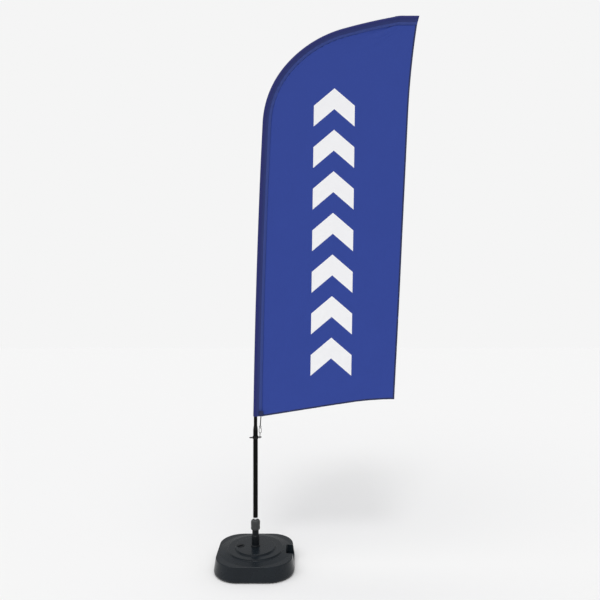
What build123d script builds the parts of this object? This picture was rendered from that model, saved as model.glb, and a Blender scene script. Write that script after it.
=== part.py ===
from build123d import *
from math import cos, degrees, radians, sin
import os

os.makedirs("parts", exist_ok=True)

# Feather flag on a curved pole that turns on a water-filled base. Millimetres.
# The origin is on the floor below the spin axis, +Z is up, and the flag stands
# out towards +X in the plane Y = 0.

# ---- driving dimensions ----

# clearances
touching_gap = 0.05
slip_gap = 0.15
running_gap = 0.3
free_gap = 1.0

# base tank
base_width = 448.0
base_corner = 145.0
base_draft = 9.0
rim_height = 85.0
floor_round = 16.0
rim_round = 4.0
tank_wall = 3.0
crown_radius = 204.0
crown_rise = 6.0
step_height = 7.0
step_run = 3.0
step_round = 2.0
outer_step_radius = 158.0
inner_step_radius = 115.0
well_floor = 10.0
grip_depth = 45.0
grip_reach = 38.0
grip_width = 110.0
grip_round = 9.0

# filler
filler_offset = 84.0
filler_recess_radius = 22.0
filler_recess_depth = 5.0
neck_bore_radius = 14.2
neck_length = 16.0
gasket_thickness = 2.0
cap_radius = 19.5
cap_thickness = 4.0
cap_plug_length = 10.0
cap_bar_width = 7.0
cap_bar_height = 4.0
cap_ribs = 24
cap_bar_turn = 35.0

# post
seal_thickness = 1.5
post_foot_radius = 25.5
post_foot_thickness = 3.0
post_flare = 8.0
post_radius = 21.8
post_shoulder_height = 165.0
neck_radius = 18.3
neck_height = 199.0
spigot_radius = 18.0
stub_radius = 15.5
stub_length = 37.0
post_bore_radius = 9.2
seat_mouth_radius = 12.8
seat_depth = 20.0
bush_length = 14.0

# clamp nut and collet
nut_height = 52.0
nut_radius = 26.0
nut_waist_radius = 24.0
nut_top_radius = 20.0
nut_skirt = 6.0
nut_waist_low = 16.0
nut_waist_high = 37.0
nut_flutes = 12
flute_radius = 4.0
collet_slits = 3
collet_slit = 1.2
collet_stand = 6.0

# spindle pin and bearings
pin_radius = 7.5
pin_bottom = 60.0
race_shoulder_radius = 5.5
race_shoulder_height = 6.0
journal_radius = 4.0
bearing_outer_radius = 9.5
bearing_width = 6.0
bearing_span = 103.0
ball_radius = 1.7
ball_count = 8
race_wall = 1.9
circlip_thickness = 1.0
circlip_radius = 6.0
groove_depth = 0.5

# rotor
pole_foot = 267.0
rotor_radius = 11.6
rotor_flange_radius = 13.75
rotor_flange_thickness = 3.0
rotor_cap_thickness = 3.0
rotor_cap_stand = 8.0
dust_seal_thickness = 3.5

# pole
tube_radius = 13.25
tube_wall = 1.5
tube_top = 760.0
reducer_height = 21.0
reducer_plug = 25.0
mid_radius = 10.0
mid_wall = 1.8
mid_foot = 640.0
upper_wall = 2.0
bend_wall = 2.2
tip_radius = 3.4
overlap = 120.0
mid_end = 640.0
upper_end = 1560.0
bend_end = 2240.0
ferrule_wall = 1.0
ferrule_length = 40.0
tip_cap_radius = 4.6
tip_cap_length = 16.0
tip_cap_round = 3.2

# the pole's bow: radius and turn in degrees of each stretch, from the reducer up
bends = [
    (6000.0, 0.85),
    (48000.0, 1.94),
    (522.0, 36.6),
    (648.0, 35.2),
    (3450.0, 5.2),
    (640.0, 10.2),
]

# collar with lugs
collar_height = 717.0
collar_width = 14.0
collar_wall = 3.2
lug_thickness = 3.5
lug_offset = 26.4
lug_radius = 8.5
lug_hole_radius = 4.2
lug_turn = 14.5

# flag
sleeve_cloth = 0.6
sleeve_radius = 13.0
sleeve_seam = 22.0
sleeve_width = 48.0
flag_bottom = 836.0
panel_thickness = 0.6
pocket_tip = 927.0
pocket_top = 3099.5
pocket_height = 43.5
pocket_half_thickness = 6.5
pocket_cloth = 1.0
pocket_nip = 13.0
binding_width = 9.0
binding_cloth = 0.5
bottom_corner = (786.0, 932.0)
bottom_straight_end = (534.0, 912.0)
trailing_straight_end = (861.0, 2530.0)
panel_tip_x = 914.0

# strap, link ring and snap hook
hook_middle = 27.0
hook_width = 15.0
hook_height = 31.0
hook_wire = 2.5
hook_thickness = 3.0
hook_round = 0.6
eye_radius = 6.5
eye_hole_radius = 4.1
ring_radius = 17.0
ring_wire_radius = 1.0
ring_half_chord = 12.0
gate_length = 19.0
gate_thickness = 1.6
gate_drop = 7.0
hook_pin_radius = 0.6
strap_width = 6.0
strap_cloth = 1.1
strap_fold = 4.8
strap_top = (33.0, 862.0)
patch_width = 24.0
patch_height = 30.0
patch_cloth = 0.8

# ---- derived sizes ----

crown_height = rim_height + crown_rise
middle_height = crown_height + step_height
plateau_height = middle_height + step_height
filler_floor = plateau_height - filler_recess_depth
post_foot = plateau_height + seal_thickness
well_radius = spigot_radius + slip_gap
stub_top = neck_height + stub_length
nut_foot = neck_height + free_gap / 2
nut_top = nut_foot + nut_height
nut_bore_radius = stub_radius + running_gap
collet_foot = stub_top - seat_depth + free_gap
collet_top = stub_top + collet_stand
seat_slope = (seat_mouth_radius - post_bore_radius) / seat_depth
tube_bore = tube_radius - tube_wall
upper_radius = mid_radius - mid_wall - slip_gap
bend_radius = upper_radius - upper_wall - slip_gap
bow_start = tube_top + reducer_height
bow_length = sum(radius * radians(turn) for radius, turn in bends)
rotor_foot = pole_foot - rotor_flange_thickness
pin_shoulder = rotor_foot - free_gap
lower_bearing = pin_shoulder + race_shoulder_height
upper_bearing = lower_bearing + bearing_span
ball_track = (journal_radius + bearing_outer_radius) / 2
rotor_top = upper_bearing + bearing_width + rotor_cap_stand
cap_underside = rotor_top - rotor_cap_thickness
pin_top = cap_underside - free_gap
ring_rise = (ring_radius**2 - ring_half_chord**2) ** 0.5
ring_middle = collar_height + ring_rise
lug_x = lug_offset * cos(radians(lug_turn))
lug_y = lug_offset * sin(radians(lug_turn))
hook_plane = lug_y - ring_half_chord
hook_foot = ring_middle + ring_radius - ring_wire_radius - free_gap - hook_wire
hook_top = hook_foot + hook_height
eye_height = hook_top + eye_radius - hook_wire / 2
pocket_bottom = pocket_top - pocket_height


# ---- shapes that several pieces share ----


def ring(inner, outer, bottom, top):
    # a plain ring about the spin axis
    with BuildSketch(Plane.XY.offset(bottom)) as outline:
        Circle(outer)
        if inner > 0:
            Circle(inner, mode=Mode.SUBTRACT)
    extrude(outline.sketch, amount=top - bottom)


def turned(points):
    # a piece turned about the spin axis from its half outline of (radius, height)
    with BuildSketch(Plane.XZ) as outline:
        with BuildLine():
            Polyline(*points, close=True)
        make_face()
    revolve(outline.sketch, axis=Axis.Z)


def tank_form(inset):
    # the tank's outer form, with every surface moved in by the inset
    block_width = base_width - 2 * inset
    with BuildPart() as form:
        with BuildSketch(Plane.XY.offset(inset)):
            RectangleRounded(block_width, block_width, base_corner - inset)
        extrude(amount=rim_height - 2 * inset, taper=base_draft)
        fillet(form.edges().group_by(Axis.Z)[0], radius=floor_round - inset)
        fillet(form.edges().group_by(Axis.Z)[-1], radius=rim_round)
        with BuildSketch(Plane.XZ):
            with BuildLine():
                FilletPolyline(
                    (crown_radius - inset, rim_height - inset),
                    (outer_step_radius - inset, crown_height - inset),
                    (outer_step_radius - step_run - inset, middle_height - inset),
                    (inner_step_radius - inset, middle_height - inset),
                    (inner_step_radius - step_run - inset, plateau_height - inset),
                    (0, plateau_height - inset),
                    radius=step_round,
                )
                Line((0, plateau_height - inset), (0, rim_height - inset - free_gap))
                Line(
                    (0, rim_height - inset - free_gap),
                    (crown_radius - inset, rim_height - inset - free_gap),
                )
                Line(
                    (crown_radius - inset, rim_height - inset - free_gap),
                    (crown_radius - inset, rim_height - inset),
                )
            make_face()
        revolve(axis=Axis.Z)
    return form.part


def station(distance):
    # the pole's middle line: X, Z and lean from upright, in degrees, along the bow
    x, z, lean = 0.0, bow_start, 0.0
    left = distance
    for radius, turn in bends:
        piece = min(left, radius * radians(turn))
        if piece <= 0:
            break
        after = lean + degrees(piece / radius)
        x += radius * (cos(radians(lean)) - cos(radians(after)))
        z += radius * (sin(radians(after)) - sin(radians(lean)))
        lean = after
        left -= piece
    return x, z + min(distance, 0.0), lean


def bow_arcs(start, end, inset=0.0):
    # each arc of the bow between two distances: start point, direction, radius, turn
    passed = 0.0
    arcs = []
    for radius, turn in bends:
        first = max(start, passed)
        last = min(end, passed + radius * radians(turn))
        passed += radius * radians(turn)
        if last > first:
            x, z, lean = station(first)
            across = (cos(radians(lean)), -sin(radians(lean)))
            along = (sin(radians(lean)), cos(radians(lean)))
            point = (x + inset * across[0], z + inset * across[1])
            arcs.append((point, along, radius - inset, -degrees((last - first) / radius)))
    return arcs


def bow_path(start, end):
    # the pole's middle line as a path, upright below the start of the bow
    with BuildLine(Plane.XZ) as path:
        if start < 0:
            Line((0, bow_start + start), (0, bow_start + min(end, 0)))
        for point, along, radius, turn in bow_arcs(start, end):
            JernArc(point, along, radius, turn)
    return path.wire()


def bow_plane(distance):
    # the plane square to the pole, its x towards the flag and its y along +Y
    x, z, lean = station(distance)
    along = (sin(radians(lean)), 0, cos(radians(lean)))
    across = (cos(radians(lean)), 0, -sin(radians(lean)))
    return Plane(origin=(x, 0, z), x_dir=across, z_dir=along)


def pole_tube(inner, outer, start, end):
    # a tube or rod that follows the pole
    with BuildSketch(bow_plane(start)) as section:
        Circle(outer)
        if inner > 0:
            Circle(inner, mode=Mode.SUBTRACT)
    sweep(section.sketch, path=bow_path(start, end))


def finish(builder, name):
    builder.part.label = name
    export_step(builder.part, f"parts/{name}.step")


# ---- base ----

with BuildPart() as base_tank:
    add(tank_form(0))
    add(tank_form(tank_wall), mode=Mode.SUBTRACT)
    ring(0, well_radius + tank_wall, 0, plateau_height - tank_wall / 2)
    with BuildSketch(Plane.XY.offset(well_floor)):
        Circle(well_radius)
    extrude(amount=plateau_height, mode=Mode.SUBTRACT)
    # filler: a round recess in the plateau, and a neck that hangs into the tank
    with BuildSketch(Plane.XY.offset(filler_floor - tank_wall)):
        with Locations((-filler_offset, 0)):
            Circle(filler_recess_radius + tank_wall)
    extrude(amount=filler_recess_depth + tank_wall / 2)
    with BuildSketch(Plane.XY.offset(filler_floor - neck_length)):
        with Locations((-filler_offset, 0)):
            Circle(neck_bore_radius + tank_wall)
    extrude(amount=neck_length - tank_wall / 2)
    with BuildSketch(Plane.XY.offset(filler_floor)):
        with Locations((-filler_offset, 0)):
            Circle(filler_recess_radius)
    extrude(amount=filler_recess_depth * 2, mode=Mode.SUBTRACT)
    with BuildSketch(Plane.XY.offset(filler_floor - neck_length - tank_wall)):
        with Locations((-filler_offset, 0)):
            Circle(neck_bore_radius)
    extrude(amount=neck_length + filler_recess_depth, mode=Mode.SUBTRACT)
    # hand grip: a pocket in the rim, open at the top and the side
    grip_inner = base_width / 2 - rim_height * sin(radians(base_draft)) - grip_reach
    grip_floor = rim_height - grip_depth
    with BuildPart(mode=Mode.PRIVATE) as grip_wall:
        add(tank_form(0))
        with Locations((grip_inner - tank_wall, 0, grip_floor - tank_wall)):
            Box(
                base_width,
                grip_width + 2 * tank_wall,
                base_width,
                align=(Align.MIN, Align.CENTER, Align.MIN),
                mode=Mode.INTERSECT,
            )
    add(grip_wall.part)
    with BuildSketch(Plane.XY.offset(grip_floor)):
        with Locations((grip_inner, 0)):
            RectangleRounded(
                base_width, grip_width, grip_round, align=(Align.MIN, Align.CENTER)
            )
    extrude(amount=base_width, mode=Mode.SUBTRACT)
finish(base_tank, "base_tank")

with BuildPart() as post_seal:
    ring(well_radius + free_gap, post_foot_radius - free_gap, plateau_height, post_foot)
finish(post_seal, "post_seal")

with BuildPart() as post:
    with BuildSketch(Plane.XZ):
        with BuildLine():
            Polyline(
                (0, well_floor + free_gap),
                (spigot_radius, well_floor + free_gap),
                (spigot_radius, post_foot),
                (post_foot_radius, post_foot),
                (post_foot_radius, post_foot + post_foot_thickness),
            )
            Spline(
                (post_foot_radius, post_foot + post_foot_thickness),
                (post_radius, post_foot + post_foot_thickness + post_flare),
                tangents=[(-1, 0.15), (0, 1)],
            )
            Polyline(
                (post_radius, post_foot + post_foot_thickness + post_flare),
                (post_radius, post_shoulder_height),
                (neck_radius, post_shoulder_height + (post_radius - neck_radius)),
                (neck_radius, neck_height),
                (stub_radius, neck_height),
                (stub_radius, stub_top),
                (0, stub_top),
                (0, well_floor + free_gap),
            )
        make_face()
    revolve(axis=Axis.Z)
    with BuildSketch(Plane.XY):
        Circle(post_bore_radius)
    extrude(amount=stub_top, mode=Mode.SUBTRACT)
    with BuildSketch(Plane.XZ):
        with BuildLine():
            Polyline(
                (0, stub_top - seat_depth),
                (post_bore_radius, stub_top - seat_depth),
                (seat_mouth_radius, stub_top),
                (0, stub_top),
                close=True,
            )
        make_face()
    revolve(axis=Axis.Z, mode=Mode.SUBTRACT)
finish(post, "post")

with BuildPart() as guide_bush:
    ring(
        pin_radius + slip_gap, post_bore_radius, post_foot, post_foot + bush_length
    )
finish(guide_bush, "guide_bush")

with BuildPart() as filler_gasket:
    with BuildSketch(Plane.XY.offset(filler_floor)):
        with Locations((-filler_offset, 0)):
            Circle(cap_radius - free_gap)
            Circle(neck_bore_radius + running_gap, mode=Mode.SUBTRACT)
    extrude(amount=gasket_thickness)
finish(filler_gasket, "filler_gasket")

with BuildPart() as filler_cap:
    cap_foot = filler_floor + gasket_thickness
    with BuildSketch(Plane.XY.offset(cap_foot)):
        with Locations((-filler_offset, 0)):
            Circle(cap_radius)
            with PolarLocations(cap_radius, cap_ribs):
                Circle(free_gap, mode=Mode.SUBTRACT)
    extrude(amount=cap_thickness)
    fillet(filler_cap.faces().sort_by(Axis.Z)[-1].edges(), radius=running_gap)
    with BuildSketch(Plane.XY.offset(cap_foot - gasket_thickness - cap_plug_length)):
        with Locations((-filler_offset, 0)):
            Circle(neck_bore_radius - running_gap)
    extrude(amount=gasket_thickness + cap_plug_length + cap_thickness / 2)
    with BuildSketch(Plane.XY.offset(cap_foot - gasket_thickness - cap_plug_length)):
        with Locations((-filler_offset, 0)):
            Circle(neck_bore_radius - running_gap - tank_wall)
    extrude(amount=cap_plug_length, mode=Mode.SUBTRACT)
    with BuildSketch(Plane.XY.offset(cap_foot + cap_thickness / 2)):
        with Locations((-filler_offset, 0)):
            SlotOverall(2 * cap_radius - 6 * free_gap, cap_bar_width, rotation=cap_bar_turn)
    extrude(amount=cap_thickness / 2 + cap_bar_height)
    fillet(filler_cap.faces().sort_by(Axis.Z)[-1].edges(), radius=free_gap)
finish(filler_cap, "filler_cap")

# ---- clamp ----

with BuildPart() as collet:
    seat_radius = post_bore_radius + (collet_foot - stub_top + seat_depth) * seat_slope
    turned(
        [
            (pin_radius + touching_gap, collet_foot),
            (seat_radius - touching_gap, collet_foot),
            (seat_mouth_radius - touching_gap, stub_top),
            (seat_mouth_radius - touching_gap, collet_top),
            (pin_radius + touching_gap, collet_top),
        ]
    )
    # slits from below, which let the fingers close on the pin
    with BuildSketch(Plane.XY.offset(collet_foot)):
        with PolarLocations(seat_mouth_radius / 2 + free_gap, collet_slits):
            Rectangle(seat_mouth_radius, collet_slit)
    extrude(amount=seat_depth - free_gap, mode=Mode.SUBTRACT)
finish(collet, "collet")

with BuildPart() as clamp_nut:
    with BuildSketch(Plane.XZ):
        with BuildLine():
            Polyline(
                (0, nut_foot),
                (nut_waist_radius, nut_foot),
                (nut_radius, nut_foot + nut_skirt),
                (nut_waist_radius + free_gap, nut_foot + nut_waist_low),
                (nut_radius, nut_foot + nut_waist_high),
            )
            Spline(
                (nut_radius, nut_foot + nut_waist_high),
                (nut_top_radius, nut_top),
                tangents=[(0.05, 1), (-1, 0.6)],
            )
            Polyline((nut_top_radius, nut_top), (0, nut_top), (0, nut_foot))
        make_face()
    revolve(axis=Axis.Z)
    fillet(clamp_nut.edges().filter_by(GeomType.CIRCLE).sort_by(Axis.Z)[-1], radius=2 * free_gap)
    with BuildSketch(Plane.XY.offset(nut_foot)):
        Circle(nut_bore_radius)
    extrude(amount=collet_top + touching_gap - nut_foot, mode=Mode.SUBTRACT)
    with BuildSketch(Plane.XY.offset(nut_foot)):
        Circle(pin_radius + free_gap)
    extrude(amount=nut_height, mode=Mode.SUBTRACT)
    # finger flutes
    with BuildSketch(Plane.XY.offset(nut_foot)):
        with PolarLocations(nut_radius + flute_radius - 2 * free_gap, nut_flutes):
            Circle(flute_radius)
    extrude(amount=nut_height, mode=Mode.SUBTRACT)
finish(clamp_nut, "clamp_nut")

# ---- spindle and bearings ----

with BuildPart() as spindle_pin:
    ring(0, pin_radius, pin_bottom, pin_shoulder)
    ring(0, race_shoulder_radius, pin_shoulder, lower_bearing)
    ring(0, journal_radius, lower_bearing, pin_top)
    chamfer(spindle_pin.edges().group_by(Axis.Z)[0], length=free_gap)
    chamfer(spindle_pin.edges().group_by(Axis.Z)[-1], length=free_gap)
    groove_bottom = upper_bearing + bearing_width
    with BuildSketch(Plane.XY.offset(groove_bottom)):
        Circle(journal_radius)
        Circle(journal_radius - groove_depth, mode=Mode.SUBTRACT)
    extrude(amount=circlip_thickness + touching_gap, mode=Mode.SUBTRACT)
finish(spindle_pin, "spindle_pin")

with BuildPart() as race_spacer:
    ring(
        journal_radius,
        race_shoulder_radius,
        lower_bearing + bearing_width,
        upper_bearing,
    )
finish(race_spacer, "race_spacer")

with BuildPart() as circlip:
    with BuildSketch(Plane.XY.offset(groove_bottom)):
        Circle(circlip_radius)
        Circle(journal_radius - groove_depth, mode=Mode.SUBTRACT)
        with Locations((0, circlip_radius)):
            Rectangle(journal_radius, 2 * circlip_radius, mode=Mode.SUBTRACT)
    extrude(amount=circlip_thickness)
finish(circlip, "circlip")

for place, height in (("lower", lower_bearing), ("upper", upper_bearing)):
    middle = Plane.XY.offset(height + bearing_width / 2)
    groove_radius = ball_radius + touching_gap
    with BuildPart() as inner_race:
        ring(journal_radius, journal_radius + race_wall, height, height + bearing_width)
        with Locations(middle):
            Torus(ball_track, groove_radius, mode=Mode.SUBTRACT)
    finish(inner_race, f"{place}_inner_race")

    with BuildPart() as outer_race:
        ring(
            bearing_outer_radius - race_wall,
            bearing_outer_radius,
            height,
            height + bearing_width,
        )
        with Locations(middle):
            Torus(ball_track, groove_radius, mode=Mode.SUBTRACT)
    finish(outer_race, f"{place}_outer_race")

    with BuildPart() as balls:
        with Locations(middle):
            with PolarLocations(ball_track, ball_count):
                Sphere(ball_radius)
    finish(balls, f"{place}_balls")

    with BuildPart() as ball_cage:
        cage_half = ball_radius + running_gap
        ring(
            ball_track - race_wall / 4,
            ball_track + race_wall / 4,
            height + bearing_width / 2 - cage_half,
            height + bearing_width / 2 + cage_half,
        )
        with Locations(middle):
            with PolarLocations(ball_track, ball_count):
                Cylinder(groove_radius, 2 * race_wall, rotation=(0, 90, 0), mode=Mode.SUBTRACT)
    finish(ball_cage, f"{place}_ball_cage")

# ---- rotor ----

with BuildPart() as rotor_sleeve:
    ring(bearing_outer_radius, rotor_flange_radius, rotor_foot, pole_foot)
    ring(bearing_outer_radius, rotor_radius, rotor_foot, rotor_top)
    ring(
        bearing_outer_radius - race_wall,
        rotor_radius,
        lower_bearing + bearing_width,
        upper_bearing,
    )
finish(rotor_sleeve, "rotor_sleeve")

with BuildPart() as dust_seal:
    ring(
        race_shoulder_radius + running_gap,
        bearing_outer_radius,
        rotor_foot,
        rotor_foot + dust_seal_thickness,
    )
finish(dust_seal, "dust_seal")

with BuildPart() as rotor_cap:
    ring(0, bearing_outer_radius, cap_underside, rotor_top)
    ring(0, rotor_radius, rotor_top, rotor_top + rotor_cap_thickness)
    chamfer(rotor_cap.edges().group_by(Axis.Z)[-1], length=free_gap)
finish(rotor_cap, "rotor_cap")

# ---- pole ----

with BuildPart() as bottom_tube:
    ring(tube_bore, tube_radius, pole_foot, tube_top)
finish(bottom_tube, "bottom_tube")

with BuildPart() as tube_guide:
    ring(mid_radius + touching_gap, tube_bore, mid_foot, mid_foot + bush_length)
finish(tube_guide, "tube_guide")

with BuildPart() as reducer:
    turned(
        [
            (mid_radius + touching_gap, tube_top - reducer_plug),
            (tube_bore, tube_top - reducer_plug),
            (tube_bore, tube_top),
            (tube_radius, tube_top),
            (mid_radius + free_gap, bow_start),
            (mid_radius + touching_gap, bow_start),
        ]
    )
finish(reducer, "reducer")

with BuildPart() as lug_collar:
    ring(
        tube_radius,
        tube_radius + collar_wall,
        collar_height - collar_width / 2,
        collar_height + collar_width / 2,
    )
    fillet(lug_collar.edges().group_by(Axis.Z)[0].sort_by(SortBy.RADIUS)[-1], radius=free_gap)
    fillet(lug_collar.edges().group_by(Axis.Z)[-1].sort_by(SortBy.RADIUS)[-1], radius=free_gap)
    with BuildSketch(Plane.XY.offset(collar_height - lug_thickness / 2)):
        SlotCenterToCenter(2 * lug_offset, 2 * lug_radius, rotation=lug_turn)
        Circle(tube_radius, mode=Mode.SUBTRACT)
        with PolarLocations(lug_offset, 2, start_angle=lug_turn):
            Circle(lug_hole_radius, mode=Mode.SUBTRACT)
    extrude(amount=lug_thickness)
finish(lug_collar, "lug_collar")

with BuildPart() as mid_pole:
    pole_tube(mid_radius - mid_wall, mid_radius, mid_foot - bow_start, mid_end)
finish(mid_pole, "mid_pole")

with BuildPart() as upper_pole:
    pole_tube(upper_radius - upper_wall, upper_radius, mid_end - overlap, upper_end)
finish(upper_pole, "upper_pole")

with BuildPart() as bend_pole:
    pole_tube(bend_radius - bend_wall, bend_radius, upper_end - overlap, bend_end)
finish(bend_pole, "bend_pole")

with BuildPart() as tip_rod:
    pole_tube(0, tip_radius, bend_end - overlap, bow_length - tip_cap_length / 2)
finish(tip_rod, "tip_rod")

for name, radius, end in (
    ("mid_ferrule", mid_radius, mid_end),
    ("upper_ferrule", upper_radius, upper_end),
    ("bend_ferrule", bend_radius, bend_end),
):
    with BuildPart() as ferrule:
        pole_tube(radius, radius + ferrule_wall, end - ferrule_length, end)
    finish(ferrule, name)

with BuildPart() as tip_cap:
    pole_tube(
        tip_radius,
        tip_cap_radius,
        bow_length - tip_cap_length,
        bow_length - tip_cap_length / 2,
    )
    with BuildSketch(bow_plane(bow_length - tip_cap_length / 2)):
        Circle(tip_cap_radius)
    extrude(amount=tip_cap_length / 2)
    fillet(tip_cap.edges().sort_by(Axis.X)[-1], radius=tip_cap_round)
finish(tip_cap, "tip_cap")

# ---- flag ----

flag_start = flag_bottom - bow_start
sleeve_stop = bow_length - bends[-1][0] * radians(bends[-1][1])

with BuildPart() as flag_sleeve:
    # a round tunnel for the pole, drawn out to a flat seam that takes the panel's edge
    slot_half = panel_thickness / 2 + touching_gap
    with BuildSketch(bow_plane(flag_start)) as tunnel:
        Circle(sleeve_radius)
        with Locations((sleeve_seam, 0)):
            Circle(slot_half + sleeve_cloth)
        make_hull()
        with Locations((sleeve_seam, 0)):
            Rectangle(
                sleeve_width - sleeve_radius - sleeve_seam,
                2 * (slot_half + sleeve_cloth),
                align=(Align.MIN, Align.CENTER),
            )
    with BuildSketch(bow_plane(flag_start)) as hollow:
        Circle(sleeve_radius - sleeve_cloth)
        with Locations((sleeve_seam, 0)):
            Circle(slot_half)
        make_hull()
        with Locations((sleeve_seam, 0)):
            Rectangle(sleeve_width, 2 * slot_half, align=(Align.MIN, Align.CENTER))
    with BuildSketch(bow_plane(flag_start)) as section:
        add(bow_plane(flag_start).to_local_coords(tunnel.sketch))
        add(bow_plane(flag_start).to_local_coords(hollow.sketch), mode=Mode.SUBTRACT)
    sweep(section.sketch, path=bow_path(flag_start, sleeve_stop))
finish(flag_sleeve, "flag_sleeve")

panel_inset = sleeve_seam + 2 * free_gap
seam_edge = sleeve_width - sleeve_radius
end_x, end_z, end_lean = station(sleeve_stop)
top_left = (
    end_x + panel_inset * cos(radians(end_lean)),
    end_z - panel_inset * sin(radians(end_lean)),
)
hem_slope = (bottom_straight_end[1] - flag_bottom) / (bottom_straight_end[0] - seam_edge)


def bottom_edge(rise):
    # straight from the sleeve, then flattening to the corner
    Line((seam_edge, flag_bottom + rise), (bottom_straight_end[0], bottom_straight_end[1] + rise))
    TangentArc(
        (bottom_straight_end[0], bottom_straight_end[1] + rise),
        (bottom_corner[0], bottom_corner[1] + rise),
        tangent=(1, hem_slope),
    )


def trailing_edge(shift):
    # straight from the corner, then swinging out to the tip
    slope = (
        trailing_straight_end[0] - bottom_corner[0],
        trailing_straight_end[1] - bottom_corner[1],
    )
    Line(
        (bottom_corner[0] + shift, bottom_corner[1]),
        (trailing_straight_end[0] + shift, trailing_straight_end[1]),
    )
    TangentArc(
        (trailing_straight_end[0] + shift, trailing_straight_end[1]),
        (panel_tip_x + shift, pocket_bottom),
        tangent=slope,
    )


with BuildPart() as flag_panel:
    with BuildSketch(Plane.XZ):
        with BuildLine():
            arcs = bow_arcs(flag_start, sleeve_stop, panel_inset)
            for point, along, radius, turn in arcs:
                JernArc(point, along, radius, turn)
            first_point = arcs[0][0]
            Polyline(top_left, (top_left[0], pocket_bottom), (panel_tip_x, pocket_bottom))
            trailing_edge(0)
            bottom_edge(0)
            Line((seam_edge, flag_bottom), first_point)
        make_face()
    extrude(amount=panel_thickness / 2, both=True)
finish(flag_panel, "flag_panel")

binding_half = panel_thickness / 2 + touching_gap + binding_cloth

with BuildPart() as trailing_binding:
    with BuildSketch(Plane.XZ):
        with BuildLine():
            trailing_edge(touching_gap + binding_cloth)
            trailing_edge(-binding_width)
            Line(
                (bottom_corner[0] - binding_width, bottom_corner[1]),
                (bottom_corner[0] + touching_gap + binding_cloth, bottom_corner[1]),
            )
            Line(
                (panel_tip_x - binding_width, pocket_bottom),
                (panel_tip_x + touching_gap + binding_cloth, pocket_bottom),
            )
        make_face()
    extrude(amount=binding_half, both=True)
    with BuildSketch(Plane.XZ):
        with BuildLine():
            trailing_edge(touching_gap)
            trailing_edge(-2 * binding_width)
            Line(
                (bottom_corner[0] - 2 * binding_width, bottom_corner[1]),
                (bottom_corner[0] + touching_gap, bottom_corner[1]),
            )
            Line(
                (panel_tip_x - 2 * binding_width, pocket_bottom),
                (panel_tip_x + touching_gap, pocket_bottom),
            )
        make_face()
    extrude(amount=panel_thickness / 2 + touching_gap, both=True, mode=Mode.SUBTRACT)
finish(trailing_binding, "trailing_binding")

with BuildPart() as bottom_binding:
    binding_start_x = seam_edge + 2 * free_gap
    binding_end_x = bottom_corner[0] - binding_width - 2 * free_gap
    with BuildSketch(Plane.XZ):
        with BuildLine():
            bottom_edge(-touching_gap - binding_cloth)
            bottom_edge(binding_width)
            Line(
                (seam_edge, flag_bottom - touching_gap - binding_cloth),
                (seam_edge, flag_bottom + binding_width),
            )
            Line(
                (bottom_corner[0], bottom_corner[1] - touching_gap - binding_cloth),
                (bottom_corner[0], bottom_corner[1] + binding_width),
            )
        make_face()
    extrude(amount=binding_half, both=True)
    with BuildSketch(Plane.XZ):
        with BuildLine():
            bottom_edge(-touching_gap)
            bottom_edge(2 * binding_width)
            Line((seam_edge, flag_bottom - touching_gap), (seam_edge, flag_bottom + 2 * binding_width))
            Line(
                (bottom_corner[0], bottom_corner[1] - touching_gap),
                (bottom_corner[0], bottom_corner[1] + 2 * binding_width),
            )
        make_face()
    extrude(amount=panel_thickness / 2 + touching_gap, both=True, mode=Mode.SUBTRACT)
    # it starts beside the sleeve, and the trailing binding laps the corner
    with Locations((binding_start_x, 0, flag_bottom)):
        Box(
            4 * binding_width,
            4 * binding_width,
            base_width,
            align=(Align.MAX, Align.CENTER, Align.CENTER),
            mode=Mode.SUBTRACT,
        )
    with Locations((binding_end_x, 0, flag_bottom)):
        Box(
            4 * binding_width,
            4 * binding_width,
            base_width,
            align=(Align.MIN, Align.CENTER, Align.CENTER),
            mode=Mode.SUBTRACT,
        )
finish(bottom_binding, "bottom_binding")

with BuildPart() as tip_pocket:
    pocket_start = top_left[0] + free_gap
    with BuildSketch(Plane.XZ):
        with BuildLine():
            Polyline(
                (pocket_start, pocket_top),
                (pocket_tip, pocket_top),
                (pocket_tip - free_gap * 6, pocket_bottom + binding_width),
                (pocket_tip - pocket_nip, pocket_bottom),
                (pocket_start, pocket_bottom),
                close=True,
            )
        make_face()
    extrude(amount=pocket_half_thickness, both=True)
    with BuildSketch(Plane.XZ):
        with BuildLine():
            Polyline(
                (pocket_start, pocket_top - pocket_cloth),
                (pocket_tip - pocket_cloth, pocket_top - pocket_cloth),
                (pocket_tip - free_gap * 6 - pocket_cloth, pocket_bottom + binding_width),
                (pocket_tip - pocket_nip - pocket_cloth, pocket_bottom + pocket_cloth),
                (pocket_start, pocket_bottom + pocket_cloth),
                close=True,
            )
        make_face()
    extrude(amount=pocket_half_thickness - pocket_cloth, both=True, mode=Mode.SUBTRACT)
finish(tip_pocket, "tip_pocket")

# ---- strap, link ring and snap hook ----

fold_radius = strap_fold / 2
eye_top = eye_height + eye_radius + slip_gap - fold_radius + running_gap
strap_lean = degrees((strap_top[0] - hook_middle) / (strap_top[1] - eye_top))
strap_plane = Plane(
    origin=(hook_middle, hook_plane, eye_top),
    x_dir=(0, 1, 0),
    z_dir=(cos(radians(strap_lean)), 0, -sin(radians(strap_lean))),
)
strap_length = (strap_top[1] - eye_top) / cos(radians(strap_lean))

with BuildPart() as tension_strap:
    # folded round the top of the eye, and both layers sewn together above it
    with BuildSketch(strap_plane):
        Circle(fold_radius + strap_cloth)
        Rectangle(2 * strap_cloth, strap_length, align=(Align.CENTER, Align.MIN))
        Circle(fold_radius, mode=Mode.SUBTRACT)
    extrude(amount=strap_width / 2, both=True)
finish(tension_strap, "tension_strap")

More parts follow.
